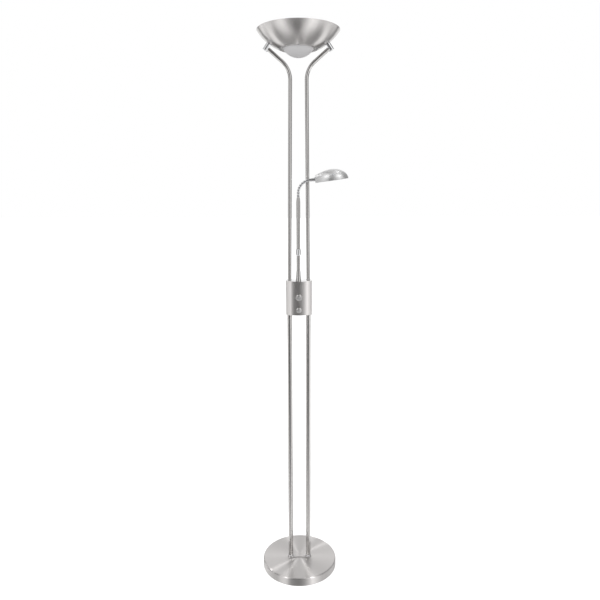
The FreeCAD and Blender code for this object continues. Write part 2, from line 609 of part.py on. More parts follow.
def build_bowl():
    """The spun bowl with its seat for the glass, and the screws into the barrels."""
    inner = BOWL_ARC_RADIUS - BOWL_WALL
    rim_angle = math.asin((BOWL_RIM_RADIUS - ARC_R) / BOWL_ARC_RADIUS)
    seat_angle = math.asin((BOWL_SEAT_RADIUS - ARC_R) / BOWL_ARC_RADIUS)
    floor_angle = math.acos((ARC_Z - BOWL_FLOOR) / inner)
    bowl = turned([(BOWL_HOLE_RADIUS, BOWL_SEAT_HEIGHT), (BOWL_SEAT_RADIUS, BOWL_SEAT_HEIGHT),
                   arc_point(BOWL_ARC_RADIUS, (rim_angle + seat_angle) / 2), (BOWL_RIM_RADIUS, BOWL_RIM_HEIGHT),
                   arc_point(inner, rim_angle), arc_point(inner, (rim_angle + floor_angle) / 2),
                   arc_point(inner, floor_angle), (BOWL_HOLE_RADIUS, BOWL_FLOOR)], smooth=(2, 5))
    seat, direction = barrel_axis()
    hole = rod(BOWL_SCREW_RADIUS + FIT, 4 * BOWL_WALL, seat - direction * (2 * BOWL_WALL), direction)
    bowl = bowl.cut(hole).cut(mirrored(hole))
    for place in ring_screw_places(BOWL_SEAT_HEIGHT - OVERRUN):
        bowl = bowl.cut(rod(RING_SCREW_RADIUS + FIT, BOWL_WALL + 2 * OVERRUN, place))
    save("bowl", bowl)

    head_start = seat - direction * (BOWL_WALL + SEAT)
    dome = cap_middle(BOWL_SCREW_HEAD_RADIUS, BOWL_SCREW_HEAD_HEIGHT)
    head = turned([(0, 0), (BOWL_SCREW_HEAD_RADIUS, 0), dome, (0, BOWL_SCREW_HEAD_HEIGHT)], smooth=(2,))
    screw = aligned(head, head_start, -direction)
    screw = screw.fuse(rod(BOWL_SCREW_RADIUS, BOWL_WALL + SEAT + BOWL_SCREW_GRIP, head_start, direction))
    save("bowl_screws", both_sides(screw))


def ring_screw_places(height):
    """The retaining ring's screw places at a height."""
    step = 2 * math.pi / RING_SCREW_COUNT
    return [V(RING_SCREW_CIRCLE * math.cos(i * step), RING_SCREW_CIRCLE * math.sin(i * step), height)
            for i in range(RING_SCREW_COUNT)]


def build_glass():
    """The opal dish, its retaining ring and the ring's screws."""
    flange_low = BOWL_FLOOR + FIT
    flange_top = flange_low + GLASS_THICKNESS
    dome_low = BOWL_SEAT_HEIGHT - GLASS_DEPTH
    depth = flange_low - dome_low
    sphere = (GLASS_DOME_RADIUS ** 2 + depth ** 2) / (2 * depth)
    centre = dome_low + sphere
    half_angle = math.asin(GLASS_DOME_RADIUS / sphere) / 2
    inner = sphere - GLASS_THICKNESS
    inner_angle = math.acos((centre - flange_top) / inner)
    dish = turned([(0, dome_low), (sphere * math.sin(half_angle), centre - sphere * math.cos(half_angle)),
                   (GLASS_DOME_RADIUS, flange_low), (GLASS_FLANGE_RADIUS, flange_low),
                   (GLASS_FLANGE_RADIUS, flange_top), (inner * math.sin(inner_angle), flange_top),
                   (inner * math.sin(inner_angle / 2), centre - inner * math.cos(inner_angle / 2)),
                   (0, centre - inner)], smooth=(1, 6))
    save("bowl_glass", dish)

    ring_low = flange_top + FIT
    ring_top = ring_low + RING_THICKNESS
    ring = turned([(RING_INNER_RADIUS, ring_low), (GLASS_FLANGE_RADIUS + SEAT, ring_low),
                   (GLASS_FLANGE_RADIUS + SEAT, flange_low), (RING_OUTER_RADIUS - RING_EDGE, flange_low),
                   (RING_OUTER_RADIUS, flange_low + RING_EDGE), (RING_OUTER_RADIUS, ring_top),
                   (RING_INNER_RADIUS, ring_top)])
    screws = []
    for i, place in enumerate(ring_screw_places(0)):
        under_bracket = i % 2 == 0
        top = ring_top + (FIT + BRACKET_THICKNESS if under_bracket else 0)
        low = BOWL_SEAT_HEIGHT - FIT - RING_SCREW_NUT_HEIGHT
        through = ring_top - flange_low + 2 * OVERRUN
        ring = ring.cut(rod(RING_SCREW_RADIUS + FIT, through, place + V(0, 0, flange_low - OVERRUN)))
        screw = rod(RING_SCREW_RADIUS, top + FIT - low, place + V(0, 0, low))
        screw = screw.fuse(rod(RING_SCREW_HEAD_RADIUS, RING_SCREW_HEAD_HEIGHT, place + V(0, 0, top + FIT)))
        screws.append(screw.fuse(hexagon(RING_SCREW_HEAD_RADIUS, RING_SCREW_NUT_HEIGHT, place + V(0, 0, low))))
    save("glass_ring", ring)
    save("ring_screws", Part.makeCompound(screws))
    return ring_top


def build_uplight(ring_top):
    """The bracket across the bowl, the lamp in its two holders, and the guard glass in its clips."""
    half = BRACKET_HALF_LENGTH
    half_width = BRACKET_WIDTH / 2
    low = ring_top + FIT
    thick = BRACKET_THICKNESS
    top = GUARD_HEIGHT + GUARD_THICKNESS + SEAT
    upright = half - thick
    ledge = GUARD_HEIGHT - SEAT
    bracket = block((-half, -half_width, low), (half, half_width, low + thick))
    for side in (-1, 1):
        outer = side * half
        inner = side * upright
        hook = side * (upright - CLIP_HOOK)
        bracket = bracket.fuse(block((min(inner, outer), -half_width, low),
                                     (max(inner, outer), half_width, top + thick)))
        for shelf in (top, ledge - thick):
            bracket = bracket.fuse(block((min(hook, outer), -half_width, shelf),
                                         (max(hook, outer), half_width, shelf + thick)))
    bracket = bracket.removeSplitter()
    for place in ring_screw_places(low - OVERRUN)[::2]:
        bracket = bracket.cut(rod(RING_SCREW_RADIUS + FIT, thick + 2 * OVERRUN, place))
    save("lamp_bracket", bracket)

    guard_half = upright - SEAT
    save("guard_glass", block((-guard_half, -GUARD_WIDTH / 2, GUARD_HEIGHT),
                              (guard_half, GUARD_WIDTH / 2, GUARD_HEIGHT + GUARD_THICKNESS)))

    lamp_half = LAMP_LENGTH / 2
    tube_half = LAMP_TUBE_LENGTH / 2
    pinch = LAMP_PINCH_RADIUS
    lamp = turned([(0, -lamp_half), (pinch, -lamp_half), (pinch, -tube_half),
                   (LAMP_TUBE_RADIUS, LAMP_SHOULDER - tube_half), (LAMP_TUBE_RADIUS, tube_half - LAMP_SHOULDER),
                   (pinch, tube_half), (pinch, lamp_half), (0, lamp_half)])
    save("uplight_lamp", aligned(lamp, V(0, 0, LAMP_HEIGHT), X_AXIS))

    holder_face = lamp_half - HOLDER_CUP_DEPTH
    length = upright - FIT - holder_face
    holder = rod(HOLDER_RADIUS, length, V(holder_face, 0, LAMP_HEIGHT), X_AXIS)
    holder = holder.cut(rod(pinch + SEAT, HOLDER_CUP_DEPTH + SEAT, V(holder_face, 0, LAMP_HEIGHT), X_AXIS))
    save("lamp_holders", both_sides(holder))


# ------------------------------------------------------ upper poles, barrels

def upper_pole_points():
    """The right upper pole's axis at its foot, its corner and the barrel it ends in."""
    seat, direction = barrel_axis()
    end = seat + direction * BARREL_CROSS
    angle = math.radians(UPPER_POLE_END_ANGLE)
    corner = V(UPPER_POLE_CORNER_X, 0, end.z - (end.x - UPPER_POLE_CORNER_X) / math.tan(angle))
    foot = V(POLE_X, 0, POLE_JOINT_HEIGHT + COUPLER_FLANGE)
    return foot, corner, end


def upper_pole_direction():
    """The unit vector up the right upper pole's long straight run."""
    foot, corner, _ = upper_pole_points()
    return (corner - foot).normalize()


def upper_pole_hole(side):
    """The clearance that an upper pole needs through the box's top."""
    foot, _, _ = upper_pole_points()
    hole = rod(UPPER_POLE_RADIUS + FIT, 2 * (BOX_TOP - POLE_JOINT_HEIGHT), foot, upper_pole_direction())
    return hole if side > 0 else mirrored(hole)


def pole_sweep(radius):
    """The right upper pole as a bar of a radius: a long run, one bend and a short run."""
    foot, corner, end = upper_pole_points()
    up = (corner - foot).normalize()
    out = (end - corner).normalize()
    turn = up.getAngle(out)
    tangent = UPPER_POLE_BEND_RADIUS * math.tan(turn / 2)
    first = corner - up * tangent
    last = corner + out * tangent
    bisector = (out - up).normalize()
    middle = corner + bisector * (UPPER_POLE_BEND_RADIUS / math.cos(turn / 2) - UPPER_POLE_BEND_RADIUS)
    path = Part.Wire([Part.LineSegment(foot, first).toShape(), Part.Arc(first, middle, last).toShape(),
                      Part.LineSegment(last, end).toShape()])
    circle = Part.Wire([Part.Circle(foot, up, radius).toShape()])
    return path.makePipeShell([circle], True, True)


def build_upper_poles():
    """The bent poles, their end studs, the barrels and the barrels' grub screws."""
    seat, direction = barrel_axis()
    foot, corner, end = upper_pole_points()
    out = (end - corner).normalize()
    cope = rod(BARREL_RADIUS + FIT, 2 * BARREL_LENGTH, seat, direction)
    pole = pole_sweep(UPPER_POLE_RADIUS).cut(pole_sweep(UPPER_POLE_RADIUS - UPPER_POLE_WALL)).cut(cope)
    pole = max(pole.Solids, key=lambda solid: solid.Volume)
    save("right_upper_pole", pole)
    save("left_upper_pole", mirrored(pole))

    chamfer = BARREL_CHAMFER
    barrel = turned([(0, FIT), (BARREL_RADIUS - chamfer, FIT), (BARREL_RADIUS, FIT + chamfer),
                     (BARREL_RADIUS, BARREL_LENGTH - chamfer), (BARREL_RADIUS - chamfer, BARREL_LENGTH),
                     (0, BARREL_LENGTH)])
    barrel = aligned(barrel, seat, direction)
    stud_tip = end + out * STUD_PAST_AXIS
    barrel = barrel.cut(rod(STUD_RADIUS + FIT, 2 * BARREL_LENGTH, stud_tip + out * FIT, -out))
    barrel = barrel.cut(rod(BOWL_SCREW_RADIUS + FIT, BOWL_SCREW_GRIP + OVERRUN, seat, direction))
    barrel = barrel.cut(rod(GRUB_RADIUS + FIT, BARREL_LENGTH, seat + direction * BARREL_CROSS, direction))
    save("right_barrel", barrel)
    save("left_barrel", mirrored(barrel))

    reach = STUD_PAST_AXIS + BARREL_RADIUS + STUD_NECK
    stud = rod(STUD_RADIUS, reach + STUD_PLUG_LENGTH, stud_tip, -out)
    plug_start = stud_tip - out * reach
    stud = stud.fuse(rod(UPPER_POLE_RADIUS - UPPER_POLE_WALL - FIT, STUD_PLUG_LENGTH, plug_start, -out))
    save("pole_end_studs", both_sides(stud.cut(rod(BARREL_RADIUS + FIT, BARREL_CROSS, seat, -direction))))

    grub_start = BARREL_CROSS + STUD_RADIUS + SEAT
    grub_end = BARREL_LENGTH - GRUB_RECESS
    grub = rod(GRUB_RADIUS, grub_end - grub_start, seat + direction * grub_start, direction)
    key_floor = seat + direction * (grub_end - GRUB_SOCKET_DEPTH)
    grub = grub.cut(hexagon(GRUB_SOCKET_RADIUS, GRUB_SOCKET_DEPTH, key_floor, direction))
    save("barrel_grub_screws", both_sides(grub))


def build_lower_poles():
    """The straight lower poles and the couplers that join them to the upper ones."""
    pole = tube(LOWER_POLE_RADIUS, LOWER_POLE_WALL, POLE_JOINT_HEIGHT - FOOT_TOP, V(POLE_X, 0, FOOT_TOP))
    save("right_lower_pole", pole)
    save("left_lower_pole", mirrored(pole))

    foot, _, _ = upper_pole_points()
    base = V(POLE_X, 0, POLE_JOINT_HEIGHT)
    coupler = rod(LOWER_POLE_RADIUS, COUPLER_FLANGE - FIT, base)
    spigot = LOWER_POLE_RADIUS - LOWER_POLE_WALL - FIT
    coupler = coupler.fuse(rod(spigot, COUPLER_SPIGOT, base - V(0, 0, COUPLER_SPIGOT)))
    upper = rod(UPPER_POLE_RADIUS - UPPER_POLE_WALL - FIT, COUPLER_SPIGOT, foot - Z_AXIS, upper_pole_direction())
    coupler = coupler.fuse(upper)
    low = base - V(0, 0, COUPLER_SPIGOT)
    save("pole_couplers", both_sides(coupler.cut(rod(COUPLER_BORE_RADIUS, 3 * COUPLER_SPIGOT, low))))


# ------------------------------------------------------------ reading arm

BALL_HEIGHT = BOX_TOP + BALL_RISE
ARM_TUBE_TOP = BALL_HEIGHT + ARM_TUBE_RISE
ARM_FOOT = V(ARM_X, ARM_Y, BOX_TOP - BOX_TOP_DIP)
BALL = V(ARM_X, ARM_Y, BALL_HEIGHT)
TUBE_END = ARM_TUBE_TOP + ARM_SHOULDER_HEIGHT


def on_sphere(radius, degrees):
    """A point (radius, height) on a sphere about the ball's centre, degrees up from straight down."""
    angle = math.radians(degrees)
    return (radius * math.sin(angle), -radius * math.cos(angle))


def build_arm_foot():
    """The collar on the box and the fixed rod that ends in the ball."""
    foot = SEAT + COLLAR_FOOT_RADIUS ** 2 * BOX_TOP_DIP / BOX_DIP_HALF_WIDTH ** 2
    socket = COLLAR_HEIGHT - ROD_SEAT_DEPTH
    mid_radius = COLLAR_TOP_RADIUS + COLLAR_FLARE * (COLLAR_FOOT_RADIUS - COLLAR_TOP_RADIUS)
    nut_top = -BOX_CAP_THICKNESS - FIT
    nut_low = nut_top - COLLAR_NUT_HEIGHT
    collar = turned([(WIRE_BORE_RADIUS, -COLLAR_SPIGOT_LENGTH), (COLLAR_SPIGOT_RADIUS, -COLLAR_SPIGOT_LENGTH),
                     (COLLAR_SPIGOT_RADIUS, nut_low), (COLLAR_NUT_RADIUS, nut_low), (COLLAR_NUT_RADIUS, nut_top),
                     (COLLAR_SPIGOT_RADIUS, nut_top), (COLLAR_SPIGOT_RADIUS, foot), (COLLAR_FOOT_RADIUS, foot),
                     (COLLAR_FOOT_RADIUS, foot + COLLAR_FOOT_EDGE), (mid_radius, COLLAR_HEIGHT / 2),
                     (COLLAR_TOP_RADIUS, COLLAR_HEIGHT), (ROD_RADIUS + FIT, COLLAR_HEIGHT),
                     (ROD_RADIUS + FIT, socket), (WIRE_BORE_RADIUS, socket)], smooth=(9,))
    save("arm_collar", aligned(collar, ARM_FOOT, Z_AXIS))

    dish = CUP_RADIUS + CUP_GAP
    rim_angle = math.degrees(math.asin(ROD_RADIUS / dish))
    neck_angle = math.degrees(math.asin(BALL_NECK_RADIUS / dish))
    ball_low = on_sphere(BALL_RADIUS, math.degrees(math.asin(BALL_NECK_RADIUS / BALL_RADIUS)))
    bore_top = math.degrees(math.asin(WIRE_BORE_RADIUS / BALL_RADIUS))
    start = ARM_FOOT.z + socket + FIT - BALL_HEIGHT
    shape = turned([(WIRE_BORE_RADIUS, start), (ROD_RADIUS, start), on_sphere(dish, rim_angle),
                    on_sphere(dish, (rim_angle + neck_angle) / 2), on_sphere(dish, neck_angle), ball_low,
                    on_sphere(BALL_RADIUS, 90), on_sphere(BALL_RADIUS, 180 - bore_top), (WIRE_BORE_RADIUS, 0)],
                   smooth=(3, 6))
    save("arm_rod", aligned(shape, BALL, Z_AXIS))


def build_ball_joint():
    """The liner that swivels on the ball, the cup that tilts on the liner, and the arm's tube."""
    liner_in = BALL_RADIUS + RUN
    liner_out = liner_in + LINER_THICKNESS
    liner = turned([on_sphere(liner_in, LINER_MOUTH_ANGLE), on_sphere(liner_out, LINER_MOUTH_ANGLE),
                    on_sphere(liner_out, 90), on_sphere(liner_out, LINER_TOP_ANGLE),
                    on_sphere(liner_in, LINER_TOP_ANGLE), on_sphere(liner_in, 90)], smooth=(2, 5))
    save("joint_liner", aligned(liner, BALL, Z_AXIS))

    cavity = liner_out + RUN
    seat = CUP_HEIGHT - ARM_TUBE_SEAT_DEPTH
    socket = ARM_TUBE_RADIUS + FIT
    bore_angle = 180 - math.degrees(math.asin(CUP_BORE_RADIUS / cavity))
    cup = turned([on_sphere(cavity, CUP_MOUTH_ANGLE), on_sphere(CUP_RADIUS, CUP_MOUTH_ANGLE),
                  on_sphere(CUP_RADIUS, (CUP_MOUTH_ANGLE + 90) / 2), (CUP_RADIUS, 0),
                  (CUP_RADIUS, CUP_HEIGHT - CUP_TOP_CHAMFER), (socket + CUP_TOP_LAND, CUP_HEIGHT),
                  (socket, CUP_HEIGHT), (socket, seat), (CUP_BORE_RADIUS, seat), on_sphere(cavity, bore_angle),
                  on_sphere(cavity, (CUP_MOUTH_ANGLE + bore_angle) / 2)], smooth=(2, 10))
    save("joint_cup", aligned(cup, BALL, Z_AXIS))

    inner = ARM_TUBE_RADIUS - ARM_TUBE_WALL
    start = BALL_HEIGHT + seat + FIT
    shoulder = turned([(inner, start), (ARM_TUBE_RADIUS, start), (ARM_TUBE_RADIUS, ARM_TUBE_TOP),
                       (ARM_TUBE_RADIUS - ARM_SHOULDER_DRAW, ARM_TUBE_TOP + ARM_SHOULDER_HEIGHT / 2),
                       (ARM_NOSE_RADIUS, TUBE_END), (NECK_BORE_RADIUS, TUBE_END),
                       (NECK_BORE_RADIUS, ARM_TUBE_TOP), (inner, ARM_TUBE_TOP - ARM_THROAT)], smooth=(3,))
    save("arm_tube", aligned(shoulder, V(ARM_X, ARM_Y, 0), Z_AXIS))


def neck_joints():
    """Each neck joint's place and the lean of the link above it, from upright towards +X, in degrees.
    The last one carries the reading head."""
    bends = NECK_LINKS + 1 - NECK_STRAIGHT_LINKS
    step = (90 - HEAD_RAKE) / bends
    place = V(ARM_X, ARM_Y, TUBE_END)
    joints = []
    for i in range(NECK_LINKS + 1):
        lean = step * max(0, i + 1 - NECK_STRAIGHT_LINKS)
        joints.append((place, lean))
        place = place + lean_direction(lean) * NECK_LINK_LENGTH
    return joints


def lean_direction(degrees):
    """The unit vector that leans from upright towards +X."""
    return V(math.sin(math.radians(degrees)), 0, math.cos(math.radians(degrees)))


def neck_link():
    """One link of the flexible neck along Z: a run of ruled ribs round a bore."""
    start = NECK_LINK_GAP / 2
    pitch = (NECK_LINK_LENGTH - NECK_LINK_GAP) / NECK_RIBS
    link = None
    for i in range(NECK_RIBS):
        low = start + i * pitch
        levels = ((NECK_ROOT_RADIUS, 0.0), (NECK_CREST_RADIUS, NECK_RIB_FLANK),
                  (NECK_CREST_RADIUS, 1 - NECK_RIB_FLANK), (NECK_ROOT_RADIUS, 1.0))
        circles = [Part.Wire([Part.Circle(V(0, 0, low + share * pitch), Z_AXIS, radius).toShape()])
                   for radius, share in levels]
        rib = Part.makeLoft(circles, True, True)
        link = rib if link is None else link.fuse(rib)
    return link.cut(rod(NECK_BORE_RADIUS, NECK_LINK_LENGTH, V(0, 0, 0)))


def build_neck():
    """The flexible neck's links, each on its own joint."""
    link = neck_link()
    for i, (place, lean) in enumerate(neck_joints()[:-1]):
        save("neck_link_%d" % (i + 1), aligned(link, place, lean_direction(lean)))


# ----------------------------------------------------------- reading head

def head_section(x, half_width, height):
    """A section across the head at x: half an ellipse over a straight rim."""
    arch = Part.Arc(V(0, 1, 0), V(0, 0, 1), V(0, -1, 0)).toShape()
    rim = Part.LineSegment(V(0, -1, 0), V(0, 1, 0)).toShape()
    stretch = FreeCAD.Matrix()
    stretch.scale(1, half_width, height)
    section = Part.Wire([arch, rim]).transformGeometry(stretch)
    section.translate(V(x, 0, 0))
    return section


def head_body(inset):
    """The head's outer form drawn in by an inset: a lofted back and a stretched quarter sphere in front."""
    half_width = HEAD_HALF_WIDTH - inset
    height = HEAD_HEIGHT - inset
    back_width = HEAD_BACK_HALF_WIDTH - inset
    back_height = HEAD_BACK_HEIGHT - inset
    sections = []
    for i in range(HEAD_SECTIONS):
        x = HEAD_PEAK_X * i / (HEAD_SECTIONS - 1)
        share = math.sin(math.pi / 2 * i / (HEAD_SECTIONS - 1))
        sections.append(head_section(x, back_width + (half_width - back_width) * share,
                                     back_height + (height - back_height) * share))
    back = Part.makeLoft(sections, True, False)
    ball = Part.makeSphere(1.0, V(0, 0, 0), Z_AXIS, 0, 90, 180)
    ball.rotate(V(0, 0, 0), Z_AXIS, -90)
    stretch = FreeCAD.Matrix()
    stretch.scale(HEAD_LENGTH - HEAD_PEAK_X - inset, half_width, height)
    front = ball.transformGeometry(stretch)
    front.translate(V(HEAD_PEAK_X, 0, 0))
    return back.fuse(front)


def in_head(shape):
    """Moves a shape from the head's own frame to its place on the neck at rest."""
    joint, _ = neck_joints()[-1]
    rake = FreeCAD.Rotation(Y_AXIS, -HEAD_RAKE)
    ferrule_end = joint + rake.multVec(X_AXIS) * (FERRULE_LENGTH + NECK_LINK_GAP / 2)
    origin = ferrule_end - rake.multVec(V(0, 0, HEAD_BACK_HEIGHT / 2))
    placed = shape.copy()
    placed.Placement = FreeCAD.Placement(origin, rake).multiply(shape.Placement)
    return placed


def head_screw_seat():
    """The place on the head's +Y flank where a screw sits, and the flank's outward normal there."""
    front = HEAD_LENGTH - HEAD_PEAK_X
    along = (HEAD_SCREW_X - HEAD_PEAK_X) / front
    up = HEAD_SCREW_HEIGHT / HEAD_HEIGHT
    across = math.sqrt(1 - along ** 2 - up ** 2)
    place = V(HEAD_SCREW_X, HEAD_HALF_WIDTH * across, HEAD_SCREW_HEIGHT)
    return place, V(along / front, across / HEAD_HALF_WIDTH, up / HEAD_HEIGHT).normalize()


def other_flank(shape):
    """The mirror image across the head's own middle plane."""
    return shape.mirror(V(0, 0, 0), Y_AXIS)


def build_head():
    """The reading head: ferrule, shell, screws, reflector, lens, lamp socket and capsule bulb."""
    middle = HEAD_BACK_HEIGHT / 2
    axis_start = V(0, 0, middle)

    ferrule = turned([(NECK_BORE_RADIUS, -FERRULE_LENGTH), (FERRULE_START_RADIUS, -FERRULE_LENGTH),
                      (FERRULE_WAIST_RADIUS, -FERRULE_WAIST), (FERRULE_END_RADIUS, -FERRULE_RIM),
                      (FERRULE_END_RADIUS, -FIT), (FERRULE_SPIGOT_RADIUS, -FIT),
                      (FERRULE_SPIGOT_RADIUS, HEAD_WALL + FIT), (FERRULE_NUT_RADIUS, HEAD_WALL + FIT),
                      (FERRULE_NUT_RADIUS, HEAD_WALL + FIT + FERRULE_NUT_LENGTH),
                      (FERRULE_SPIGOT_RADIUS, HEAD_WALL + FIT + FERRULE_NUT_LENGTH),
                      (FERRULE_SPIGOT_RADIUS, FERRULE_SPIGOT_LENGTH), (NECK_BORE_RADIUS, FERRULE_SPIGOT_LENGTH)])
    save("head_ferrule", in_head(aligned(ferrule, axis_start, X_AXIS)))

    cavity = head_body(HEAD_WALL)
    room = cavity.common(block((HEAD_WALL, -HEAD_LENGTH, 0), (HEAD_LENGTH, HEAD_LENGTH, HEAD_LENGTH)))
    shell = head_body(0).cut(room)
    shell = shell.cut(rod(FERRULE_SPIGOT_RADIUS + FIT, 3 * HEAD_WALL, axis_start - X_AXIS, X_AXIS))
    seat, outward = head_screw_seat()
    hole = rod(HEAD_SCREW_RADIUS + FIT, 4 * HEAD_WALL, seat - outward * (2 * HEAD_WALL), outward)
    save("head_shell", in_head(shell.cut(hole).cut(other_flank(hole))))

    screw_dome = cap_middle(HEAD_SCREW_HEAD_RADIUS, HEAD_SCREW_HEAD_HEIGHT)
    screw_head = turned([(0, 0), (HEAD_SCREW_HEAD_RADIUS, 0), screw_dome, (0, HEAD_SCREW_HEAD_HEIGHT)],
                        smooth=(2,))
    screw = aligned(screw_head, seat + outward * FIT, outward)
    shank = HEAD_WALL + REFLECTOR_GAP
    screw = screw.fuse(rod(HEAD_SCREW_RADIUS, shank, seat + outward * FIT, -outward))
    save("head_screws", in_head(Part.makeCompound([screw, other_flank(screw)])))

    lens_top = LENS_RECESS + LENS_THICKNESS
    inside = head_body(HEAD_WALL + LENS_EDGE_GAP)
    clear_back = HEAD_WALL + LENS_EDGE_GAP
    lens = inside.common(block((clear_back, -HEAD_LENGTH, LENS_RECESS), (HEAD_LENGTH, HEAD_LENGTH, lens_top)))
    save("head_lens", in_head(lens))

    socket_end = SOCKET_START + SOCKET_LENGTH
    outer = head_body(HEAD_WALL + REFLECTOR_GAP)
    inner = head_body(HEAD_WALL + REFLECTOR_GAP + REFLECTOR_THICKNESS)
    keep = block((REFLECTOR_START, -HEAD_LENGTH, lens_top + SEAT), (HEAD_LENGTH, HEAD_LENGTH, HEAD_LENGTH))
    reflector = outer.cut(inner).common(keep)
    save("head_reflector", in_head(reflector))

    socket = rod(SOCKET_RADIUS, SOCKET_LENGTH, V(SOCKET_START, 0, middle), X_AXIS)
    strap_low = middle + FERRULE_NUT_RADIUS + FIT
    socket = socket.fuse(block((HEAD_WALL + FIT, -STRAP_HALF_WIDTH, strap_low),
                               (SOCKET_START + STRAP_OVERLAP, STRAP_HALF_WIDTH, strap_low + STRAP_THICKNESS)))
    lens_floor = block((0, -HEAD_LENGTH, -HEAD_LENGTH), (HEAD_LENGTH, HEAD_LENGTH, lens_top + SEAT))
    socket = socket.cut(lens_floor)
    save("head_socket", in_head(socket))

    cap_low = socket_end + BULB_LENGTH - BULB_CAP
    cap_r, cap_z = cap_middle(BULB_RADIUS, BULB_CAP)
    neck_end = socket_end + BULB_NECK_LENGTH
    bulb = turned([(0, socket_end + FIT), (BULB_NECK_RADIUS, socket_end + FIT), (BULB_NECK_RADIUS, neck_end),
                   (BULB_RADIUS, neck_end + BULB_TAPER), (BULB_RADIUS, cap_low),
                   (cap_r, cap_low + cap_z), (0, cap_low + BULB_CAP)], smooth=(5,))
    save("head_bulb", in_head(aligned(bulb, V(0, 0, middle), X_AXIS)))


def main():
    os.makedirs("parts", exist_ok=True)
    build_base()
    build_feet()
    build_lower_poles()
    build_box()
    build_controls()
    build_upper_poles()
    build_bowl()
    build_uplight(build_glass())
    build_arm_foot()
    build_ball_joint()
    build_neck()
    build_head()


main()
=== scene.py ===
"""A floor lamp with an uplighter bowl and a reading light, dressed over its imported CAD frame.

Lengths are metres and angles are degrees, in the frame's own axes: +Z is up, the controls face -Y
and the reading head points to +X. Each sub-assembly is a class that gives its CAD nodes their
finishes, and the solids themselves are shown as they are. The studio is a class of its own.
"""

import logging
import math
from dataclasses import dataclass
from enum import Enum
from typing import Callable, Sequence

import bpy
from mathutils import Euler, Matrix, Vector


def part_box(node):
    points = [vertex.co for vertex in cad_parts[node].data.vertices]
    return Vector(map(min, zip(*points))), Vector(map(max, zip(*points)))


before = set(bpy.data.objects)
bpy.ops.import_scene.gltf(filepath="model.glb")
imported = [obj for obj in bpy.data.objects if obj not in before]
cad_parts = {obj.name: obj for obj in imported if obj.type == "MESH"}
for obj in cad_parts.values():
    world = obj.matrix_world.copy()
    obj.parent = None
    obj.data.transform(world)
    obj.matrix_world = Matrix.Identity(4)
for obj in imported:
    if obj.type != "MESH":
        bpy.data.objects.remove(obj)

Color = tuple[float, float, float]

MM = 0.001
STEEL_MARKS_SCALE = 9.0      # marks of handling on brushed steel, per metre
MARKS_COARSENESS = 40.0      # how many times coarser the marks of handling are than the grain
GRAIN_SHARE = 0.7            # of the scratches in a brushed finish
MARKS_SHARE = 0.3            # of the marks of handling in a brushed finish
ACROSS_THE_LAY = 0.25        # of a turn, by which the stretched highlight is turned from the tangent
QUARTER_TURN = math.radians(90)
MIX_SHARE, MIX_FIRST, MIX_SECOND, MIX_RESULT = 0, 6, 7, 2     # the sockets of a mix node that mixes colours

log = logging.getLogger("floor_lamp")


def centre_of(node: str) -> Vector:
    """The middle of a CAD node's box at rest."""
    low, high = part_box(node)
    return (low + high) / 2


# ------------------------------------------------------------------ node work

class NodeSheet:
    """A node tree that is being filled."""

    def __init__(self, tree: bpy.types.NodeTree) -> None:
        """Keeps the tree."""
        self.tree = tree

    def add(self, kind: str, values: dict[str, object] | None = None, **settings: object) -> bpy.types.Node:
        """Adds a node.

        Args:
            kind: the node's type name.
            values: constants for its input sockets, by name.
            settings: its own properties.

        Returns:
            The new node.
        """
        node = self.tree.nodes.new(kind)
        for key, value in settings.items():
            setattr(node, key, value)
        for key, value in (values or {}).items():
            node.inputs[key].default_value = value
        return node

    def join(self, source: bpy.types.NodeSocket, target: bpy.types.NodeSocket) -> None:
        """Links an output to an input."""
        self.tree.links.new(source, target)

    def math(self, operation: str, first: object, second: object = 0.0,
             third: object = 0.0) -> bpy.types.NodeSocket:
        """Adds a math node.

        Args:
            operation: the node's operation.
            first: a socket or a number.
            second: the same, where the operation takes two.
            third: the same, where it takes three.

        Returns:
            The node's output.
        """
        node = self.add("ShaderNodeMath", operation=operation)
        for place, value in enumerate((first, second, third)):
            if isinstance(value, bpy.types.NodeSocket):
                self.join(value, node.inputs[place])
            else:
                node.inputs[place].default_value = value
        return node.outputs[0]

    def spread(self, source: bpy.types.NodeSocket, low: float, high: float) -> bpy.types.NodeSocket:
        """Maps a value from 0..1 to low..high.

        Args:
            source: the value.
            low: what 0 becomes.
            high: what 1 becomes.

        Returns:
            The mapped value.
        """
        node = self.add("ShaderNodeMapRange", {"To Min": low, "To Max": high})
        self.join(source, node.inputs["Value"])
        return node.outputs[0]

    def blend_colors(self, share: bpy.types.NodeSocket, first: Color, second: Color) -> bpy.types.NodeSocket:
        """Mixes two colours.

        Args:
            share: how much of the second colour shows.
            first: the colour at a share of 0.
            second: the colour at a share of 1.

        Returns:
            The mixed colour.
        """
        node = self.add("ShaderNodeMix", data_type="RGBA")
        node.inputs[MIX_FIRST].default_value = (*first, 1.0)
        node.inputs[MIX_SECOND].default_value = (*second, 1.0)
        self.join(share, node.inputs[MIX_SHARE])
        return node.outputs[MIX_RESULT]


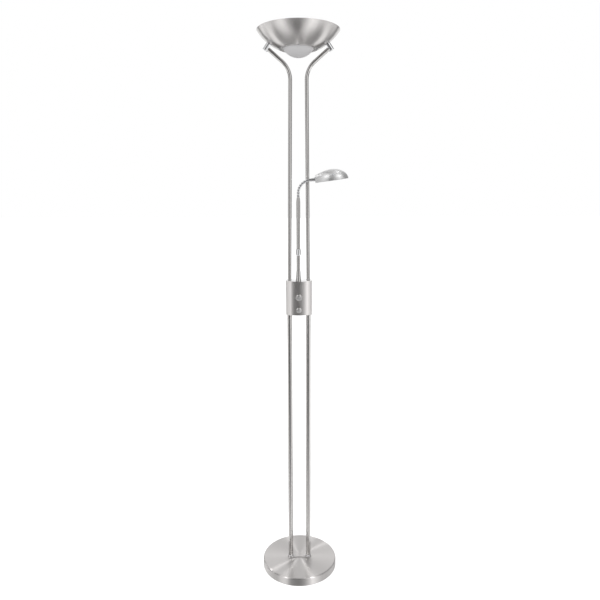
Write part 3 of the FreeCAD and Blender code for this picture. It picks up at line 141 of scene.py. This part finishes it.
class EffectGroup:
    """A shared effect as a node group, built once and placed in each material with its own values."""

    built: dict[str, bpy.types.NodeTree] = {}

    def __init__(self, name: str, inputs: dict[str, tuple[str, object]], output: str,
                 fill: Callable[[NodeSheet, bpy.types.Node], bpy.types.NodeSocket]) -> None:
        """Keeps what the group needs.

        Args:
            name: the group's name.
            inputs: for each input its socket type and default.
            output: the name of its float output.
            fill: adds the nodes between the group's input node and the returned output socket.
        """
        self.name = name
        self.inputs = inputs
        self.output = output
        self.fill = fill

    def tree(self) -> bpy.types.NodeTree:
        """The group's tree, made on first use."""
        if self.name not in self.built:
            tree = bpy.data.node_groups.new(self.name, "ShaderNodeTree")
            for label, (kind, default) in self.inputs.items():
                socket = tree.interface.new_socket(label, in_out="INPUT", socket_type=kind)
                socket.default_value = default
            tree.interface.new_socket(self.output, in_out="OUTPUT", socket_type="NodeSocketFloat")
            sheet = NodeSheet(tree)
            result = self.fill(sheet, sheet.add("NodeGroupInput"))
            sheet.join(result, sheet.add("NodeGroupOutput").inputs[0])
            self.built[self.name] = tree
        return self.built[self.name]

    def place(self, sheet: NodeSheet, vector: bpy.types.NodeSocket, **values: object) -> bpy.types.NodeSocket:
        """Puts the group in a material.

        Args:
            sheet: the material's nodes.
            vector: what feeds the group's vector.
            values: constants for its other inputs, by name.

        Returns:
            The group's output.
        """
        node = sheet.add("ShaderNodeGroup", node_tree=self.tree())
        sheet.join(vector, node.inputs["Vector"])
        for key, value in values.items():
            node.inputs[key].default_value = value
        return node.outputs[0]


def fill_spun(sheet: NodeSheet, source: bpy.types.Node) -> bpy.types.NodeSocket:
    """Grain that changes fast with radius and height and slowly round Z.

    The grain is a noise over (k cos a, k sin a, c z, c r), where a is the angle round Z, r the radius,
    k the input Around and c the input Across. The radius is kept off zero where the angle is worked out.

    Args:
        sheet: the group's nodes.
        source: the group's input node.

    Returns:
        The grain, from 0 to 1.
    """
    parts = sheet.add("ShaderNodeSeparateXYZ")
    sheet.join(source.outputs["Vector"], parts.inputs[0])
    x, y, z = parts.outputs
    radius = sheet.math("SQRT", sheet.math("ADD", sheet.math("MULTIPLY", x, x), sheet.math("MULTIPLY", y, y)))
    on_axis = 1e-5
    safe = sheet.math("MAXIMUM", radius, on_axis)
    around = source.outputs["Around"]
    place = sheet.add("ShaderNodeCombineXYZ")
    sheet.join(sheet.math("MULTIPLY", sheet.math("DIVIDE", x, safe), around), place.inputs[0])
    sheet.join(sheet.math("MULTIPLY", sheet.math("DIVIDE", y, safe), around), place.inputs[1])
    sheet.join(sheet.math("MULTIPLY", z, source.outputs["Across"]), place.inputs[2])
    noise = sheet.add("ShaderNodeTexNoise", {"Scale": 1.0, "Detail": 3.0, "Roughness": 0.65},
                      noise_dimensions="4D")
    sheet.join(place.outputs[0], noise.inputs["Vector"])
    sheet.join(sheet.math("MULTIPLY", radius, source.outputs["Across"]), noise.inputs["W"])
    return noise.outputs[0]


def fill_handling(sheet: NodeSheet, source: bpy.types.Node) -> bpy.types.NodeSocket:
    """Soft marks of handling: a slow noise times a quicker one, raised so that it never blanks the first.

    Args:
        sheet: the group's nodes.
        source: the group's input node.

    Returns:
        The marks, from 0 to about 1.
    """
    quicker, raised = 6.0, 0.5
    slow = sheet.add("ShaderNodeTexNoise", {"Detail": 2.0})
    quick = sheet.add("ShaderNodeTexNoise", {"Detail": 4.0, "Roughness": 0.7})
    sheet.join(source.outputs["Vector"], slow.inputs["Vector"])
    sheet.join(source.outputs["Vector"], quick.inputs["Vector"])
    sheet.join(source.outputs["Scale"], slow.inputs["Scale"])
    sheet.join(sheet.math("MULTIPLY", source.outputs["Scale"], quicker), quick.inputs["Scale"])
    return sheet.math("MULTIPLY", slow.outputs[0], sheet.math("ADD", quick.outputs[0], raised))


SPUN_GRAIN = EffectGroup("spun_grain", {"Vector": ("NodeSocketVector", (0.0, 0.0, 0.0)),
                                        "Around": ("NodeSocketFloat", 3.0),
                                        "Across": ("NodeSocketFloat", 2500.0)}, "Grain", fill_spun)
HANDLING = EffectGroup("handling_marks", {"Vector": ("NodeSocketVector", (0.0, 0.0, 0.0)),
                                          "Scale": ("NodeSocketFloat", 20.0)}, "Marks", fill_handling)


# ------------------------------------------------------------------ finishes

class Lay(Enum):
    """How the scratches of a brushed finish lie."""

    ROUND_Z = "round the upright axis"
    ROUND_Y = "round the axis that runs to the front"


@dataclass(frozen=True)
class Finish:
    """A plain finish: one colour with a fine grain in its roughness and its relief."""

    name: str
    color: Color
    roughness: float
    metallic: float = 0.0
    variation: float = 0.04
    grain_scale: float = 900.0
    relief: float = 0.0
    shade: float = 0.06

    def material(self) -> bpy.types.Material:
        """The finish as a material, made on first use."""
        label = f"lamp_{self.name}"
        found = bpy.data.materials.get(label)
        if found is not None:
            return found
        made = bpy.data.materials.new(label)
        made.use_nodes = True
        sheet = NodeSheet(made.node_tree)
        made.node_tree.nodes.clear()
        surface = sheet.add("ShaderNodeBsdfPrincipled", {"Metallic": self.metallic})
        output = sheet.add("ShaderNodeOutputMaterial")
        sheet.join(surface.outputs[0], output.inputs["Surface"])
        coords = sheet.add("ShaderNodeTexCoord")
        self.dress(sheet, surface, coords.outputs["Object"])
        return made

    def dress(self, sheet: NodeSheet, surface: bpy.types.Node, place: bpy.types.NodeSocket) -> None:
        """Fills the surface's sockets.

        Args:
            sheet: the material's nodes.
            surface: its Principled BSDF.
            place: Object coordinates.
        """
        marks = HANDLING.place(sheet, place, Scale=self.grain_scale / MARKS_COARSENESS)
        dark = tuple(c * (1 - self.shade) for c in self.color)
        sheet.join(sheet.blend_colors(marks, dark, self.color), surface.inputs["Base Color"])
        sheet.join(sheet.spread(marks, self.roughness - self.variation, self.roughness + self.variation),
                   surface.inputs["Roughness"])
        if self.relief:
            fine = HANDLING.place(sheet, place, Scale=self.grain_scale)
            self.add_relief(sheet, surface, fine, self.relief)

    @staticmethod
    def add_relief(sheet: NodeSheet, surface: bpy.types.Node, height: bpy.types.NodeSocket,
                   depth: float) -> None:
        """Feeds a height to the surface's normal.

        Args:
            sheet: the material's nodes.
            surface: its Principled BSDF.
            height: the height, from 0 to 1.
            depth: how deep a height of 1 is, in millimetres.
        """
        bump = sheet.add("ShaderNodeBump", {"Strength": 1.0, "Distance": depth * MM})
        sheet.join(height, bump.inputs["Height"])
        sheet.join(bump.outputs[0], surface.inputs["Normal"])


@dataclass(frozen=True)
class BrushedSteel(Finish):
    """Satin steel with fine scratches that lie one way."""

    lay: Lay = Lay.ROUND_Z
    anisotropy: float = 0.75
    across: float = 2600.0
    around: float = 2.5
    centre: tuple[float, float, float] = (0.0, 0.0, 0.0)

    def dress(self, sheet: NodeSheet, surface: bpy.types.Node, place: bpy.types.NodeSocket) -> None:
        """Fills the surface's sockets with the grain that the lay asks for.

        Args:
            sheet: the material's nodes.
            surface: its Principled BSDF.
            place: Object coordinates.
        """
        mapping = sheet.add("ShaderNodeMapping", {"Location": tuple(-c for c in self.centre)})
        sheet.join(place, mapping.inputs["Vector"])
        place = mapping.outputs[0]
        if self.lay is Lay.ROUND_Y:
            level = sheet.add("ShaderNodeMapping", {"Rotation": (QUARTER_TURN, 0.0, 0.0)})
            sheet.join(place, level.inputs["Vector"])
            grain = SPUN_GRAIN.place(sheet, level.outputs[0], Across=self.across, Around=self.around)
        else:
            grain = SPUN_GRAIN.place(sheet, place, Across=self.across, Around=self.around)
        marks = HANDLING.place(sheet, place, Scale=STEEL_MARKS_SCALE)
        mixed = sheet.math("ADD", sheet.math("MULTIPLY", grain, GRAIN_SHARE),
                           sheet.math("MULTIPLY", marks, MARKS_SHARE))
        dark = tuple(c * (1 - self.shade) for c in self.color)
        sheet.join(sheet.blend_colors(mixed, dark, self.color), surface.inputs["Base Color"])
        sheet.join(sheet.spread(mixed, self.roughness - self.variation, self.roughness + self.variation),
                   surface.inputs["Roughness"])
        surface.inputs["Anisotropic"].default_value = self.anisotropy
        tangent = sheet.add("ShaderNodeTangent", direction_type="RADIAL",
                            axis="Y" if self.lay is Lay.ROUND_Y else "Z")
        sheet.join(tangent.outputs[0], surface.inputs["Tangent"])
        surface.inputs["Anisotropic Rotation"].default_value = ACROSS_THE_LAY
        if self.relief:
            self.add_relief(sheet, surface, grain, self.relief)


@dataclass(frozen=True)
class GlassFinish(Finish):
    """Glass or fused silica: clear, etched or opal."""

    transmission: float = 1.0
    ior: float = 1.5
    shine: float = 0.5

    def dress(self, sheet: NodeSheet, surface: bpy.types.Node, place: bpy.types.NodeSocket) -> None:
        """Fills the surface's sockets, with plain constants for its transmission and its shine.

        Args:
            sheet: the material's nodes.
            surface: its Principled BSDF.
            place: Object coordinates.
        """
        super().dress(sheet, surface, place)
        surface.inputs["Transmission Weight"].default_value = self.transmission
        surface.inputs["IOR"].default_value = self.ior
        surface.inputs["Specular IOR Level"].default_value = self.shine


STEEL_COLOR: Color = (0.66, 0.64, 0.63)
SPUN_STEEL = BrushedSteel("spun_steel", STEEL_COLOR, 0.34, 1.0, relief=0.003, anisotropy=1.0)
BOWL_STEEL = BrushedSteel("bowl_steel", STEEL_COLOR, 0.24, 1.0, relief=0.002, anisotropy=1.0)
BOX_STEEL = BrushedSteel("box_steel", STEEL_COLOR, 0.34, 1.0, relief=0.003, anisotropy=1.0)
POLE_STEEL = BrushedSteel("pole_steel", (0.60, 0.585, 0.575), 0.16, 1.0, relief=0.0, anisotropy=0.9)
HEAD_STEEL = BrushedSteel("head_steel", (0.72, 0.72, 0.72), 0.42, 1.0, relief=0.002, anisotropy=0.0)
CHROME = Finish("polished_chrome_plate", (0.80, 0.80, 0.81), 0.06, 1.0, variation=0.02, grain_scale=400.0)
ZINC = Finish("bright_zinc", (0.66, 0.67, 0.70), 0.28, 1.0, variation=0.06, grain_scale=1200.0, relief=0.01)
CAST_IRON = Finish("cast_iron", (0.10, 0.10, 0.11), 0.65, 0.6, variation=0.1, grain_scale=700.0, relief=0.15,
                   shade=0.3)
FELT = Finish("felt", (0.05, 0.05, 0.055), 0.95, grain_scale=1500.0, relief=0.2, shade=0.4)
RUBBER = Finish("black_rubber", (0.03, 0.03, 0.03), 0.6, grain_scale=1500.0, relief=0.03, shade=0.2)
PLASTIC = Finish("black_moulded_plastic", (0.04, 0.04, 0.045), 0.5, grain_scale=2200.0, relief=0.02,
                 shade=0.2)
NYLON = Finish("white_nylon", (0.82, 0.82, 0.79), 0.45, grain_scale=1500.0, relief=0.01)
CERAMIC = Finish("white_ceramic", (0.86, 0.85, 0.82), 0.25, grain_scale=800.0, relief=0.01)
ALUMINIUM = Finish("bright_aluminium", (0.86, 0.87, 0.88), 0.18, 1.0, grain_scale=900.0, relief=0.004)
OPAL_GLASS = GlassFinish("opal_glass", (0.92, 0.91, 0.92), 0.45, transmission=0.0, shine=0.1, shade=0.02)
CLEAR_GLASS = GlassFinish("clear_glass", (0.96, 0.97, 0.97), 0.02, variation=0.01, shade=0.0)
ETCHED_GLASS = GlassFinish("etched_glass", (0.92, 0.93, 0.93), 0.35, variation=0.03, shade=0.0)


def dress(node: str, finish: Finish) -> None:
    """Gives a CAD node a finish through its material slots.

    Args:
        node: the node's name.
        finish: what it is finished in.
    """
    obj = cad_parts[node]
    material = finish.material()
    if not obj.material_slots:
        obj.data.materials.append(material)
    for place in obj.material_slots:
        place.material = material
    log.info("dressed %s in %s", node, finish.name)


# ------------------------------------------------------------------ studio

@dataclass(frozen=True)
class Studio:
    """White sweep, soft light from all round with a few bright panels, and the camera."""

    lens: float = 34.70
    sensor: float = 36.0
    camera_place: tuple[float, float, float] = (0.0034, -1.8828, 1.3102)
    pitch: float = 10.42         # below level
    roll: float = 0.12           # clockwise
    floor_size: float = 60.0
    floor_glow: float = 0.86
    floor_albedo: float = 0.45
    strength: float = 1.5        # radiance of a fully white panel
    # azimuth from the camera's side, positive to the right, and the share of the full radiance there
    panels: tuple[tuple[float, float], ...] = (
        (-148, 0.68), (-144, 0.16), (-136, 0.16), (-126, 0.23), (-124, 0.86), (-113, 0.86), (-110, 0.20),
        (-90, 0.19), (-80, 0.26), (-70, 0.14), (-63, 0.14), (-60, 0.88), (-40, 0.92), (-32, 0.50),
        (-24, 0.17), (-14, 0.08), (-3, 0.05), (3, 0.09), (10, 0.20), (19, 0.42), (27, 0.76), (33, 1.0),
        (47, 1.0), (51, 0.62), (57, 0.70), (60, 0.26), (70, 0.16), (100, 0.20), (104, 0.28), (133, 0.30),
        (137, 0.14), (148, 0.68))
    panel_top: tuple[float, float] = (0.72, 0.92)         # sine of the elevation where the panels fade out
    ceiling: float = 0.52        # share of the full radiance overhead
    # sine of the elevation and the least share of the full radiance there: what the floor gives back
    ground: tuple[tuple[float, float], ...] = ((-1.0, 0.10), (-0.80, 0.12), (-0.73, 0.24), (-0.66, 0.80),
                                               (-0.55, 0.80), (-0.48, 0.06), (0.0, 0.0))
    # the same height and how far the azimuth is drawn in there, so that the panels stand wider apart
    spread: tuple[tuple[float, float], ...] = ((-0.70, 0.64), (-0.60, 1.0), (-0.50, 1.0), (-0.42, 0.42),
                                               (-0.22, 0.42), (-0.13, 1.0))
    # direction towards each small lamp, and its irradiance
    spots: tuple[tuple[tuple[float, float, float], float], ...] = (
        ((-0.616, 0.315, 0.722), 0.24), ((0.264, 0.075, 0.962), 0.11), ((-0.301, 0.197, 0.933), 0.05),
        ((-0.52, -0.52, 0.68), 0.25), ((0.52, -0.55, 0.65), 0.25))
    spot_width: float = 3.0      # angle across each small lamp
    # radiance on matt pieces from straight below and from just above level, and the sines of both elevations
    fill: tuple[float, float] = (0.42, 0.85)
    fill_span: tuple[float, float] = (-1.0, 0.1)

    def build(self) -> None:
        """Makes the world, the floor, the small lamps and the camera."""
        self.build_world()
        self.build_floor()
        self.build_spots()
        self.build_camera()
        bpy.context.scene.view_settings.view_transform = "Standard"
        bpy.context.scene.view_settings.look = "None"

    def build_world(self) -> None:
        """Soft light by azimuth, a plain ceiling above, and white behind everything that the camera sees."""
        world = bpy.data.worlds.new("studio")
        world.use_nodes = True
        bpy.context.scene.world = world
        world.node_tree.nodes.clear()
        sheet = NodeSheet(world.node_tree)
        parts = sheet.add("ShaderNodeSeparateXYZ")
        sheet.join(sheet.add("ShaderNodeTexCoord").outputs["Generated"], parts.inputs[0])
        x, y, z = parts.outputs
        azimuth = sheet.math("ARCTAN2", x, sheet.math("MULTIPLY", y, -1.0))
        narrow = self.ramp(sheet, [(height + 1.0, value) for height, value in self.spread])
        sheet.join(sheet.math("ADD", z, 1.0), narrow.inputs[0])
        scaled = sheet.math("MULTIPLY", azimuth, narrow.outputs[0])
        ramp = self.ramp(sheet, [(angle / 360 + 0.5, value) for angle, value in self.panels])
        sheet.join(sheet.math("MULTIPLY_ADD", scaled, 1 / (2 * math.pi), 0.5), ramp.inputs[0])
        floor = self.ramp(sheet, [(height + 1.0, value) for height, value in self.ground])
        sheet.join(sheet.math("ADD", z, 1.0), floor.inputs[0])
        lower = sheet.math("MAXIMUM", ramp.outputs[0], floor.outputs[0])
        overhead = sheet.add("ShaderNodeValue")
        overhead.outputs[0].default_value = self.ceiling
        mixed = self.fade(sheet, z, self.panel_top, lower, overhead.outputs[0])
        soft = sheet.add("ShaderNodeBackground", {"Strength": self.strength})
        sheet.join(mixed, soft.inputs["Color"])
        low, high = self.fill_span
        fill_share = sheet.add("ShaderNodeMapRange", {"From Min": low, "From Max": high,
                                                      "To Min": self.fill[0], "To Max": self.fill[1]})
        sheet.join(z, fill_share.inputs["Value"])
        fill = sheet.add("ShaderNodeBackground", {"Strength": 1.0})
        sheet.join(fill_share.outputs[0], fill.inputs["Color"])
        white = sheet.add("ShaderNodeBackground", {"Color": (1.0, 1.0, 1.0, 1.0), "Strength": 1.0})
        path = sheet.add("ShaderNodeLightPath").outputs
        shown = soft.outputs[0]
        for ray, light in (("Is Diffuse Ray", fill), ("Is Camera Ray", white)):
            choice = sheet.add("ShaderNodeMixShader")
            sheet.join(path[ray], choice.inputs[0])
            sheet.join(shown, choice.inputs[1])
            sheet.join(light.outputs[0], choice.inputs[2])
            shown = choice.outputs[0]
        sheet.join(shown, sheet.add("ShaderNodeOutputWorld").inputs["Surface"])

    @staticmethod
    def ramp(sheet: NodeSheet, stops: Sequence[tuple[float, float]]) -> bpy.types.Node:
        """Adds a ramp of grey shares.

        Args:
            sheet: the world's nodes.
            stops: for each stop its place from 0 to 1 and its share, in order of place.

        Returns:
            The ramp.
        """
        node = sheet.add("ShaderNodeValToRGB")
        elements = node.color_ramp.elements
        while len(elements) < len(stops):
            elements.new(0.5)
        for element, (place, value) in zip(elements, stops):
            element.position = place
            element.color = (value, value, value, 1.0)
        return node

    @staticmethod
    def fade(sheet: NodeSheet, height: bpy.types.NodeSocket, span: tuple[float, float],
             near: bpy.types.NodeSocket, far: bpy.types.NodeSocket) -> bpy.types.NodeSocket:
        """Goes from one light to another as the direction's height crosses a span.

        Args:
            sheet: the world's nodes.
            height: the sine of the direction's elevation.
            span: where the change starts and ends.
            near: the light below the span.
            far: the light above it.

        Returns:
            The blended light.
        """
        share = sheet.add("ShaderNodeMapRange", {"From Min": span[0], "From Max": span[1]},
                          interpolation_type="SMOOTHSTEP")
        sheet.join(height, share.inputs["Value"])
        mix = sheet.add("ShaderNodeMix", data_type="RGBA")
        for source, place in ((share.outputs[0], MIX_SHARE), (near, MIX_FIRST), (far, MIX_SECOND)):
            sheet.join(source, mix.inputs[place])
        return mix.outputs[MIX_RESULT]

    def build_floor(self) -> None:
        """A plain pale floor that glows just enough to meet the white behind it."""
        half = self.floor_size / 2
        mesh = bpy.data.meshes.new("floor")
        corners = [(-half, -half, 0), (half, -half, 0), (half, half, 0), (-half, half, 0)]
        mesh.from_pydata(corners, [], [(0, 1, 2, 3)])
        floor = bpy.data.objects.new("floor", mesh)
        bpy.context.scene.collection.objects.link(floor)
        floor.visible_glossy = False
        floor.visible_diffuse = False
        material = bpy.data.materials.new("pale_floor")
        material.use_nodes = True
        surface = material.node_tree.nodes["Principled BSDF"]
        surface.inputs["Base Color"].default_value = (self.floor_albedo,) * 3 + (1.0,)
        surface.inputs["Roughness"].default_value = 1.0
        surface.inputs["Specular IOR Level"].default_value = 0.0
        surface.inputs["Emission Color"].default_value = (1.0, 1.0, 1.0, 1.0)
        surface.inputs["Emission Strength"].default_value = self.floor_glow
        mesh.materials.append(material)

    def build_spots(self) -> None:
        """Small far lamps, which draw the bright rays on the spun and polished pieces."""
        for number, (direction, irradiance) in enumerate(self.spots):
            data = bpy.data.lights.new(f"spot_{number}", "SUN")
            data.energy = irradiance
            data.angle = math.radians(self.spot_width)
            lamp = bpy.data.objects.new(f"spot_{number}", data)
            bpy.context.scene.collection.objects.link(lamp)
            lamp.rotation_euler = Vector(direction).to_track_quat("Z", "Y").to_euler()

    def build_camera(self) -> None:
        """The camera at the photograph's place and angle, with no shift."""
        data = bpy.data.cameras.new("camera")
        data.lens = self.lens
        data.sensor_width = self.sensor
        camera = bpy.data.objects.new("camera", data)
        bpy.context.scene.collection.objects.link(camera)
        tilt = Euler((math.radians(90 - self.pitch), 0.0, 0.0)).to_matrix()
        roll = Matrix.Rotation(math.radians(-self.roll), 3, "Z")
        camera.location = self.camera_place
        camera.rotation_euler = (tilt @ roll).to_euler()
        bpy.context.scene.camera = camera


# ------------------------------------------------------------------ the lamp

class Base:
    """Round weighted base with its felt pad, foot plate and foot rings."""

    def build(self) -> None:
        """Dresses the base's nodes."""
        dress("base_cover", SPUN_STEEL)
        dress("base_pad", FELT)
        dress("base_weight", CAST_IRON)
        dress("cable_gland", RUBBER)
        dress("foot_plate", SPUN_STEEL)
        dress("foot_rings", CHROME)
        dress("lower_pole_plugs", ZINC)
        dress("base_bolts", ZINC)


@dataclass
class Poles:
    """The twin poles with their couplers, studs and the barrels that carry the bowl."""

    sides: tuple[str, ...] = ("left", "right")

    def build(self) -> None:
        """Dresses the poles' nodes."""
        for side in self.sides:
            dress(f"{side}_lower_pole", POLE_STEEL)
            dress(f"{side}_upper_pole", POLE_STEEL)
            dress(f"{side}_barrel", CHROME)
        for node in ("pole_couplers", "pole_end_studs", "barrel_grub_screws"):
            dress(node, ZINC)


@dataclass
class ControlBox:
    """Two crowned shells with end caps, and two rotary dimmers behind their knobs."""

    knobs: tuple[str, ...] = ("uplight_knob", "reading_knob")
    knob_color: Color = (0.84, 0.83, 0.82)
    knob_roughness: float = 0.32

    def build(self) -> None:
        """Dresses the box's nodes."""
        dress("box_front_shell", BOX_STEEL)
        dress("box_back_shell", BOX_STEEL)
        dress("box_top_cap", CHROME)
        dress("box_bottom_cap", CHROME)
        for node in ("box_spacers", "box_screws", "dimmer_nuts", "uplight_spindle", "reading_spindle"):
            dress(node, ZINC)
        for node in ("uplight_dimmer", "reading_dimmer"):
            dress(node, PLASTIC)
        dress("wiring_block", NYLON)
        for node in self.knobs:
            dress(node, BrushedSteel(f"{node}_steel", self.knob_color, self.knob_roughness, 1.0, relief=0.003,
                                     lay=Lay.ROUND_Y, anisotropy=1.0, centre=tuple(centre_of(node))))


class Uplight:
    """Spun bowl with its opal dish, retaining ring, bracket, lamp and guard glass."""

    def build(self) -> None:
        """Dresses the uplight's nodes."""
        dress("bowl", BOWL_STEEL)
        dress("bowl_glass", OPAL_GLASS)
        for node in ("bowl_screws", "glass_ring", "ring_screws", "lamp_bracket"):
            dress(node, ZINC)
        dress("guard_glass", CLEAR_GLASS)
        dress("uplight_lamp", CLEAR_GLASS)
        dress("lamp_holders", CERAMIC)


class ReadingArm:
    """Collar, rod, ball joint and tube of the reading light."""

    def build(self) -> None:
        """Dresses the arm's nodes."""
        for node in ("arm_collar", "arm_rod", "arm_tube"):
            dress(node, POLE_STEEL)
        dress("joint_cup", CHROME)
        dress("joint_liner", NYLON)


@dataclass
class FlexibleNeck:
    """The ribbed neck, one link on each of its joints."""

    links: int = 8

    def build(self) -> None:
        """Dresses the links."""
        for number in range(1, self.links + 1):
            dress(f"neck_link_{number}", CHROME)


class ReadingHead:
    """The reading light's shell with its ferrule, lens, reflector, socket and bulb."""

    def build(self) -> None:
        """Dresses the head's nodes."""
        dress("head_ferrule", CHROME)
        dress("head_shell", HEAD_STEEL)
        dress("head_screws", ZINC)
        dress("head_lens", ETCHED_GLASS)
        dress("head_reflector", ALUMINIUM)
        dress("head_socket", CERAMIC)
        dress("head_bulb", CLEAR_GLASS)


def main() -> None:
    """Builds the studio and the lamp's sub-assemblies in order."""
    logging.basicConfig(level=logging.INFO, format="%(name)s: %(message)s")
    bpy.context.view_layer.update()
    Studio().build()
    for assembly in (Base(), Poles(), ControlBox(), Uplight(), ReadingArm(), FlexibleNeck(), ReadingHead()):
        assembly.build()


if __name__ == "__main__":
    main()
